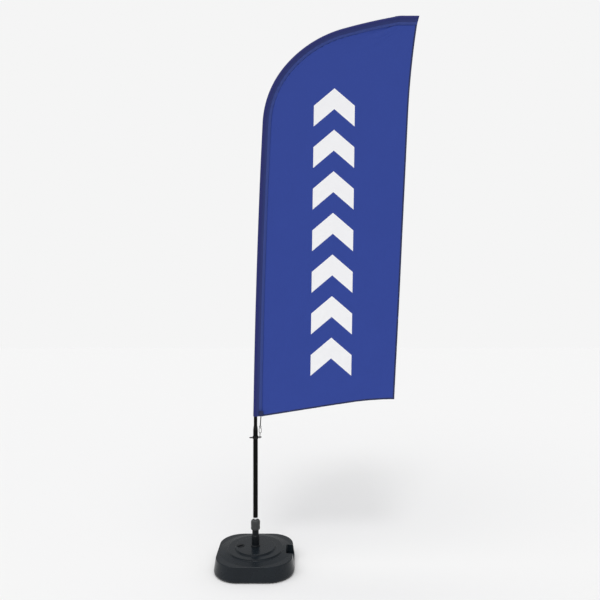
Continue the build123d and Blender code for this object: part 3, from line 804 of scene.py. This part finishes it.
def finer(line, times):
    # more points along a line, on a smooth curve through the ones that it has
    result = []
    for index in range(len(line) - 1):
        a = line[max(index - 1, 0)]
        b, c = line[index], line[index + 1]
        d = line[min(index + 2, len(line) - 1)]
        for step in range(times):
            t = step / times
            result.append(
                0.5 * (2 * b + (c - a) * t + (2 * a - 5 * b + 4 * c - d) * t * t
                       + (3 * b - a - 3 * c + d) * t ** 3)
            )
    result.append(line[-1])
    return result


trailingLine = finer([row[-1] for row in panelGrid], 2)
trailingInner = finer([row[-3] for row in panelGrid], 2)
bottomLine = finer(panelGrid[0], 3)
bottomInner = finer(panelGrid[2], 3)
trailingHem = makeHem("trailingHem", trailingLine, trailingInner, hemShape["trailingWidth"])
bottomHem = makeHem("bottomHem", bottomLine, bottomInner, hemShape["bottomWidth"])


# pole sleeve and tip pocket

sleeveShape = {
    "radius": 0.0124,
    "seamNear": 0.0220,
    "seamFar": 0.0350,
    "flatHalf": 0.0008,
    "stations": 620,
    "thickness": 0.00045,
    "creaseHeight": 0.0011,
    "bendFrom": 1.55,
    "bendTo": 2.5,
    "bendBlend": 0.25,
    "gatherPitch": 0.043,
    "roundUntil": 0.02,
}

pocketShape = {
    "start": 0.790,
    "settled": 0.822,
    "end": 0.926,
    "slant": 0.0135,
    "top": 3.0993,
    "near": 3.0600,
    "far": 3.0470,
    "sleeveTop": 3.0955,
    "sleeveNear": 3.0612,
    "sleeveFar": 3.0478,
    "plump": 0.0125,
    "slim": 0.0070,
    "flat": 0.0011,
    "lipHalf": 0.0009,
    "closeFrom": 0.0085,
    "closeOver": 0.0075,
    "creaseHeight": 0.0005,
    "stations": 58,
    "thickness": 0.0007,
}


def teardrop(radius, near, far, half):
    # a section round the pole, drawn in to two flat layers: (across, out) from front to back
    meet = math.acos(min(0.999, (radius - half) / near))
    front = [(far - (far - near) * step / 4, -half) for step in range(5)]
    start = Vector((near, -half))
    touch = Vector((radius * math.cos(meet), -radius * math.sin(meet)))
    front += [tuple(start.lerp(touch, step / 4)) for step in range(1, 4)]
    turns = 18
    wrap = []
    for step in range(turns + 1):
        angle = -meet - (2 * math.pi - 2 * meet) * step / turns
        wrap.append((radius * math.cos(angle), radius * math.sin(angle)))
    back = [(across, -out) for across, out in reversed(front)]
    return front + wrap + back


def creases(distance, across, out):
    # lengthwise pulls, and small gathers on the inside of the bend
    blend = sleeveShape["bendBlend"]
    bend = smoothStep((distance - sleeveShape["bendFrom"]) / blend)
    bend *= 1 - smoothStep((distance - sleeveShape["bendTo"]) / blend)
    loose = smoothStep((across - 0.002) / 0.018)
    side = 1.0 if out > 0 else -1.0
    long = noise.noise(Vector((distance * 5.5, across * 60, side * 3.1)))
    turn = distance * 2 * math.pi / sleeveShape["gatherPitch"]
    gather = math.sin(turn + side + 2.5 * long) * bend
    foot = math.exp(-abs(distance - sleeveStart) * 14) * math.sin(across * 520 + side)
    return sleeveShape["creaseHeight"] * (0.75 * long + 0.7 * gather + 0.6 * foot) * loose


def sweepSleeve(name, distances, sectionAt, lift):
    rows = []
    for distance in distances:
        point, across, along = station(distance)
        section = sectionAt(distance)
        line = []
        for side, out in section:
            if side < sleeveShape["roundUntil"]:
                outward = Vector((side, out)).normalized()
            else:
                outward = Vector((0, 1 if out > 0 else -1))
            height = lift(distance, side, out)
            sideways = side + outward.x * height
            proud = out + outward.y * height
            line.append(point + across * sideways + Vector((0, proud, 0)))
        rows.append(line)
    count = len(rows[0])
    points = [place for line in rows for place in line]
    piece = meshPiece(name, points, gridFaces(len(rows), count))
    uvMap = piece.data.uv_layers.new(name="cloth")
    for loop in piece.data.loops:
        row, column = divmod(loop.vertex_index, count)
        uvMap.data[loop.index].uv = (sectionAt(distances[0])[column][0], distances[row])
    return piece


sleeveDistances = [
    sleeveStart + (sleeveStop - sleeveStart) * step / (sleeveShape["stations"] - 1)
    for step in range(sleeveShape["stations"])
]


def sleeveSection(distance):
    slack = 1 + 0.03 * noise.noise(Vector((distance * 3.0, 1.7, 0)))
    return teardrop(
        sleeveShape["radius"] * slack,
        sleeveShape["seamNear"],
        sleeveShape["seamFar"],
        sleeveShape["flatHalf"],
    )


sleeve = sweepSleeve("poleSleeve", sleeveDistances, sleeveSection, creases)
paint(sleeve, finishes["sleeve"])
addModifier(sleeve, "SOLIDIFY", thickness=sleeveShape["thickness"], offset=-1.0)
bakeModifiers(sleeve)


def pocketLevels(x):
    # top, inner seam and lower edge of the pocket, which leave the sleeve's own
    start, settled = pocketShape["start"], pocketShape["settled"]
    share = smoothStep((x - start) / (settled - start))
    levels = []
    for own, pocket in (("sleeveTop", "top"), ("sleeveNear", "near"), ("sleeveFar", "far")):
        levels.append(pocketShape[own] * (1 - share) + pocketShape[pocket] * share)
    return levels, share


def pocketSide(top, near, far, half):
    # one layer of the pocket, from its round top down to its lower edge: (out, height)
    radius = (top - near) / 2.6
    lip = pocketShape["lipHalf"]
    side = []
    for turn in range(10):
        angle = math.pi / 2 * turn / 9
        side.append((half * math.sin(angle), top - radius * (1 - math.cos(angle))))
    for down in range(1, 8):
        swing = smoothStep(down / 7)
        height = top - radius - (top - radius - near) * down / 7
        side.append((half * (1 - swing) + lip * swing, height))
    for down in range(1, 5):
        side.append((lip, near - (near - far) * down / 4))
    return side


def makePocket():
    # the sleeve runs on level over the rod's tip, slims down and is sewn flat at its end
    rows = []
    count = pocketShape["stations"]
    first, last = pocketShape["start"], pocketShape["end"]
    for step in range(count):
        x = first + (last - first) * (step / (count - 1)) ** 0.9
        (top, near, far), share = pocketLevels(x)
        plump = pocketShape["plump"] * (1 - share) + pocketShape["slim"] * share
        closing = smoothStep((x - last + pocketShape["closeFrom"]) / pocketShape["closeOver"])
        side = pocketSide(top, near, far, plump * (1 - closing) + pocketShape["flat"] * closing)
        line = [(-out, height) for out, height in reversed(side)] + side[1:]
        lean = pocketShape["slant"] * (x - first) / (last - first)
        placed = []
        for out, height in line:
            way = 1 if out > 0 else -1
            crease = noise.noise(Vector((x * 45, height * 90, 2.0 * way)))
            proud = out + way * pocketShape["creaseHeight"] * crease
            placed.append(Vector((x - (top - height) / (top - far) * lean, proud, height)))
        rows.append(placed)
    wide = len(rows[0])
    points = [place for line in rows for place in line]
    piece = meshPiece("tipPocketCloth", points, gridFaces(count, wide))
    uvMap = piece.data.uv_layers.new(name="cloth")
    for loop in piece.data.loops:
        row, column = divmod(loop.vertex_index, wide)
        (top, near, far), share = pocketLevels(rows[row][0].x)
        below = near - piece.data.vertices[loop.vertex_index].co.z
        across = sleeveShape["seamNear"] + below * 0.9
        uvMap.data[loop.index].uv = (max(-0.013, across), rows[row][0].x)
    return piece, rows


pocket, pocketRows = makePocket()
paint(pocket, finishes["sleeve"])
addModifier(pocket, "SOLIDIFY", thickness=pocketShape["thickness"], offset=0.0)
bakeModifiers(pocket)
print("sleeve and pocket sewn")


# strap

strapShape = {
    "exit": (0.0330, -0.00539, 0.8620),
    "halfWidth": 0.0030,
    "halfThickness": 0.00105,
    "stations": 40,
    "loopDrop": 0.0021,
    "loopHole": 0.0024,
    "loopRadius": 0.0034,
    "loopSteps": 28,
    "necking": 0.10,
}


def roundedBand(halfWidth, halfThick, corner=0.0005):
    # a flat band's section with rounded edges
    section = []
    for cornerX, cornerY, first in ((1, 1, 0), (-1, 1, 90), (-1, -1, 180), (1, -1, 270)):
        for step in range(4):
            angle = math.radians(first + step * 30)
            section.append((
                cornerX * (halfWidth - corner) + corner * math.cos(angle),
                cornerY * (halfThick - corner) + corner * math.sin(angle),
            ))
    return section


def splinePoints(places):
    # points along a smooth spline through the route's own points
    line = bpy.data.curves.new("routeLine", "CURVE")
    line.dimensions = "3D"
    line.resolution_u = strapShape["stations"]
    spline = line.splines.new("NURBS")
    spline.points.add(len(places) - 1)
    for point, place in zip(spline.points, places):
        point.co = (*place, 1.0)
    spline.order_u = 3
    spline.use_endpoint_u = True
    holder = bpy.data.objects.new("routeLine", line)
    mesh = bpy.data.meshes.new_from_object(holder)
    found = [point.co.copy() for point in mesh.vertices]
    bpy.data.objects.remove(holder)
    return found


def addLoop(strap, middle, sideways, along):
    # the strap's end goes round the hook's eye and is sewn back on itself
    steps, half = strapShape["loopSteps"], strapShape["halfWidth"]
    inner, outer = strapShape["loopHole"], strapShape["loopRadius"]
    around = [(outer, -half), (outer, half), (inner, half), (inner, -half)]
    work = bmesh.new()
    work.from_mesh(strap.data)
    layer = work.loops.layers.uv["cloth"]
    rings = []
    for step in range(steps):
        angle = 2 * math.pi * step / steps
        outward = Vector((0, math.sin(angle), 0)) - along * math.cos(angle)
        rings.append([
            work.verts.new(middle + outward * radius + sideways * width)
            for radius, width in around
        ])
    for step in range(steps):
        ring, after = rings[step], rings[(step + 1) % steps]
        for side in range(4):
            face = work.faces.new((ring[side], ring[side - 1], after[side - 1], after[side]))
            for loop in face.loops:
                loop[layer].uv = ((loop.vert.co - middle).dot(sideways), step * 0.0007)
    bmesh.ops.recalc_face_normals(work, faces=work.faces)
    work.to_mesh(strap.data)
    work.free()


def makeStrap():
    hookLow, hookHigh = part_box("snap_hook")
    top = Vector(strapShape["exit"])
    end = Vector((
        (hookLow[0] + hookHigh[0]) / 2, top.y, hookHigh[2] - strapShape["loopDrop"]
    ))
    along = (end - top).normalized()
    sideways = along.cross(Vector((0, 1, 0))).normalized()
    section = roundedBand(strapShape["halfWidth"], strapShape["halfThickness"])
    path = splinePoints([top, top.lerp(end, 0.35), top.lerp(end, 0.7), end])
    rows = []
    stations = len(path)
    tail = strapShape["loopRadius"] / (top - end).length
    for step in range(stations):
        place = top.lerp(end, step / (stations - 1) * (1 - tail))
        narrow = 1 - strapShape["necking"] * math.sin(step / (stations - 1) * math.pi)
        rows.append([
            place + sideways * x * narrow + Vector((0, y, 0)) for x, y in section
        ])
    strap = meshPiece(
        "elasticStrap",
        [place for line in rows for place in line],
        gridFaces(stations, len(section), closed=True),
    )
    uvMap = strap.data.uv_layers.new(name="cloth")
    for loop in strap.data.loops:
        row, column = divmod(loop.vertex_index, len(section))
        uvMap.data[loop.index].uv = (section[column][0], path[row].z)
    capEnds(strap, len(section))
    addLoop(strap, end, sideways, along)
    paint(strap, finishes["webbing"])
    return strap, path


strap, strapPath = makeStrap()


# corner patch

patchShape = {
    "thickness": 0.0011,
    "columns": 14,
    "rows": 17,
    "puff": 0.0005,
}


def makePatch():
    # a square of doubled cloth sewn over the strap's end
    low, high = cornerOf("corner_patch", 0), cornerOf("corner_patch", 1)
    middle = (low + high) / 2
    points, places = [], []
    for row in range(patchShape["rows"]):
        for column in range(patchShape["columns"]):
            u = column / (patchShape["columns"] - 1) * 2 - 1
            v = row / (patchShape["rows"] - 1) * 2 - 1
            edge = (1 - u ** 8) * (1 - v ** 8)
            cross = math.exp(-((abs(u) - abs(v)) * 5) ** 2)
            x = middle.x + u * (high.x - low.x) / 2
            z = middle.z + v * (high.z - low.z) / 2
            puff = patchShape["puff"] * edge * (1 - 0.8 * cross)
            y = high.y - patchShape["thickness"] / 2 - puff
            points.append((x, y, z))
            places.append((x, z))
    rows, columns = patchShape["rows"], patchShape["columns"]
    patch = meshPiece("cornerPatch", points, gridFaces(rows, columns))
    uvMap = patch.data.uv_layers.new(name="cloth")
    for loop in patch.data.loops:
        uvMap.data[loop.index].uv = places[loop.vertex_index]
    paint(patch, finishes["binding"])
    addModifier(patch, "SOLIDIFY", thickness=patchShape["thickness"], offset=0.0)
    bakeModifiers(patch)
    return patch, low, high


patch, patchLow, patchHigh = makePatch()
print("patch and strap sewn")


# stitches

class Plan:
    # a node group that is built in the script, with one method for every node
    def __init__(self, name, inputs):
        self.tree = bpy.data.node_groups.new(name, "GeometryNodeTree")
        self.sockets = {}
        for label, kind in inputs:
            socket = self.tree.interface.new_socket(label, in_out="INPUT", socket_type=kind)
            self.sockets[label] = socket.identifier
        self.tree.interface.new_socket(
            "Geometry", in_out="OUTPUT", socket_type="NodeSocketGeometry"
        )
        self.given = self.tree.nodes.new("NodeGroupInput")
        self.result = self.tree.nodes.new("NodeGroupOutput")

    def node(self, kind, settings=None, values=None, out=0):
        node = self.tree.nodes.new(kind)
        for key, value in (settings or {}).items():
            setattr(node, key, value)
        for key, value in (values or {}).items():
            if isinstance(value, bpy.types.NodeSocket):
                self.tree.links.new(value, node.inputs[key])
            else:
                node.inputs[key].default_value = value
        return node.outputs[out]


stitchShape = {
    "length": 0.0026,
    "pitch": 0.0034,
    "thickness": 0.00045,
    "seed": 5,
    "wander": 0.00012,
}


def stitchPlan():
    # one small flattened bead for each stitch, laid along the seam's line
    plan = Plan("stitchesAlongSeam", [
        ("Geometry", "NodeSocketGeometry"),
        ("Pitch", "NodeSocketFloat"),
        ("Stitch Length", "NodeSocketFloat"),
        ("Thread", "NodeSocketFloat"),
        ("Wander", "NodeSocketFloat"),
        ("Seed", "NodeSocketInt"),
        ("Finish", "NodeSocketMaterial"),
    ])
    given = plan.given.outputs
    line = plan.node("GeometryNodeMeshToCurve", values={"Mesh": given["Geometry"]})
    spots = plan.node(
        "GeometryNodeCurveToPoints",
        {"mode": "LENGTH"},
        {"Curve": line, "Length": given["Pitch"]},
    )
    spotsNode = spots.node
    wander = plan.node(
        "FunctionNodeRandomValue",
        {"data_type": "FLOAT_VECTOR"},
        {"Min": (-1.0, -1.0, -1.0), "Max": (1.0, 1.0, 1.0), "Seed": given["Seed"]},
    )
    shift = plan.node(
        "ShaderNodeVectorMath", {"operation": "SCALE"}, {0: wander, "Scale": given["Wander"]}
    )
    moved = plan.node("GeometryNodeSetPosition", values={"Geometry": spots, "Offset": shift})
    bead = plan.node(
        "GeometryNodeMeshIcoSphere", values={"Radius": 0.5, "Subdivisions": 1}
    )
    size = plan.node(
        "ShaderNodeCombineXYZ",
        values={"X": given["Thread"], "Y": given["Thread"], "Z": given["Stitch Length"]},
    )
    placed = plan.node(
        "GeometryNodeInstanceOnPoints",
        values={
            "Points": moved, "Instance": bead,
            "Rotation": spotsNode.outputs["Rotation"], "Scale": size,
        },
    )
    real = plan.node("GeometryNodeRealizeInstances", values={"Geometry": placed})
    done = plan.node(
        "GeometryNodeSetMaterial", values={"Geometry": real, "Material": given["Finish"]}
    )
    plan.tree.links.new(done, plan.result.inputs[0])
    return plan


stitches = stitchPlan()


def sewLines(name, lines, body, seed=0, pitch=None):
    # all of one piece's seam lines become one mesh of stitches
    points, edges = [], []
    for line in lines:
        first = len(points)
        points.extend(tuple(place) for place in line)
        edges.extend((first + index, first + index + 1) for index in range(len(line) - 1))
    mesh = bpy.data.meshes.new(name)
    mesh.from_pydata(points, edges, [])
    piece = bpy.data.objects.new(name, mesh)
    scene.collection.objects.link(piece)
    modifier = piece.modifiers.new("Stitches", "NODES")
    modifier.node_group = stitches.tree
    values = {
        "Pitch": pitch or stitchShape["pitch"],
        "Stitch Length": stitchShape["length"],
        "Thread": stitchShape["thickness"],
        "Wander": stitchShape["wander"],
        "Seed": stitchShape["seed"] + seed,
        "Finish": finishes["thread"],
    }
    for label, value in values.items():
        modifier[stitches.sockets[label]] = value
    bakeModifiers(piece)
    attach(piece, body)
    return piece


def raised(line, height):
    return [place + Vector((0, height, 0)) for place in line]


def betweenLines(first, second, share):
    return [a.lerp(b, share) for a, b in zip(first, second)]


seams = {
    "hemShare": 0.80,
    "hemLift": 0.00085,
    "sleeveInsets": (0.0240, 0.0330),
    "sleeveLift": 0.00145,
    "pocketLift": 0.0006,
    "pocketEndLift": 0.0005,
    "patchInset": 0.0022,
    "patchLift": 0.00025,
    "patchPitch": 0.0030,
}


def sewEverything():
    front, back = -1, 1
    hemLift = seams["hemLift"]
    trailing = betweenLines(trailingLine, trailingInner, seams["hemShare"])
    bottom = betweenLines(bottomLine, bottomInner, seams["hemShare"])
    hemLines = []
    for line in (trailing, bottom):
        hemLines.append(raised(line, front * hemLift))
        hemLines.append(raised(line, back * hemLift))
    sewn = [sewLines("hemStitches", hemLines, "pole", 1)]

    seamLines = []
    for inset in seams["sleeveInsets"]:
        line = []
        for distance in sleeveDistances:
            point, across, along = station(distance)
            line.append(point + across * inset)
        seamLines.append(raised(line, front * seams["sleeveLift"]))
        seamLines.append(raised(line, back * seams["sleeveLift"]))
    sewn.append(sewLines("sleeveStitches", seamLines, "pole", 2))

    pocketLines = []
    for column, way in ((2, front), (-3, back)):
        line = [row[column] for row in pocketRows[3:]]
        pocketLines.append(raised(line, way * seams["pocketLift"]))
    end = pocketRows[-4]
    pocketLines.append(raised(end[2:20], front * seams["pocketEndLift"]))
    pocketLines.append(raised(end[-20:-2], back * seams["pocketEndLift"]))
    sewn.append(sewLines("pocketStitches", pocketLines, "pole", 3))

    inset = seams["patchInset"]
    x0, x1 = patchLow.x + inset, patchHigh.x - inset
    z0, z1 = patchLow.z + inset, patchHigh.z - inset
    y = patchHigh.y - patchShape["thickness"] - seams["patchLift"]
    corners = [Vector((x, y, z)) for x, z in ((x0, z0), (x1, z0), (x1, z1), (x0, z1))]
    box = [corners[index % 4] for index in range(5)]
    patchLines = [box, [corners[0], corners[2]], [corners[1], corners[3]]]
    patchLines = [finer(line, 12) if len(line) > 2 else line for line in patchLines]
    sewn.append(sewLines("patchStitches", patchLines, "pole", 4, seams["patchPitch"]))
    return sewn


sewn = sewEverything()
print("stitches sewn:", sum(len(piece.data.polygons) for piece in sewn), "faces")


# bodies: each soft piece hangs from the pole's body and hides the frame's part that it stands for

addModifier(panel, "SOLIDIFY", thickness=panelShape["clothThickness"], offset=0.0)
bakeModifiers(panel)

pieceSlots = [
    (panel, "flag_cloth", "flag_panel"),
    (trailingHem, "binding_tape", "trailing_binding"),
    (bottomHem, "binding_tape", "bottom_binding"),
    (sleeve, "sleeve_cloth", "flag_sleeve"),
    (pocket, "sleeve_cloth", "tip_pocket"),
    (patch, "binding_tape", "corner_patch"),
    (strap, "elastic_webbing", "tension_strap"),
]
for piece, slot, node in pieceSlots:
    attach(piece, "pole")
    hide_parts(node)


# floor and lights

studio = {
    "floor": (0.856, 0.856, 0.856),
    "backdrop": 0.913,
    "surround": 0.46,
    "floorHalf": 14.0,
    # name, power, spread, tilt and turn
    "suns": [
        ("wideSoftbox", 1.72, 75.0, 20.0, -28.0),
        ("rimSoftbox", 0.40, 14.0, 34.0, -8.0),
    ],
}


def makeFloor():
    half = studio["floorHalf"]
    floor = meshPiece(
        "studioFloor",
        [(-half, -half, 0), (half, -half, 0), (half, half, 0), (-half, half, 0)],
        [(0, 1, 2, 3)],
        smooth=False,
    )
    shader = Shader("studioFloor", studio["floor"], 0.85, Specular_IOR_Level=0.0)
    paint(floor, shader.material)
    return floor


def makeSun(name, power, spread, tilt, turn):
    data = bpy.data.lights.new(name, "SUN")
    data.energy = power
    data.angle = math.radians(spread)
    sun = bpy.data.objects.new(name, data)
    sun.rotation_euler = (math.radians(tilt), 0.0, math.radians(turn))
    scene.collection.objects.link(sun)


def makeWorld():
    # a white backdrop to look at, and a dimmer room to be lit by
    world = bpy.data.worlds.new("studio")
    world.use_nodes = True
    tree = world.node_tree
    path = tree.nodes.new("ShaderNodeLightPath")
    mix = tree.nodes.new("ShaderNodeMix")
    mix.data_type = "FLOAT"
    mix.inputs[2].default_value = studio["surround"]
    mix.inputs[3].default_value = studio["backdrop"]
    tree.links.new(path.outputs["Is Camera Ray"], mix.inputs[0])
    sky = tree.nodes["Background"]
    sky.inputs["Color"].default_value = (1.0, 1.0, 1.0, 1.0)
    tree.links.new(mix.outputs[0], sky.inputs["Strength"])
    return world


floor = makeFloor()
for values in studio["suns"]:
    makeSun(*values)
scene.world = makeWorld()
scene.view_settings.view_transform = "Standard"
print("stage set")
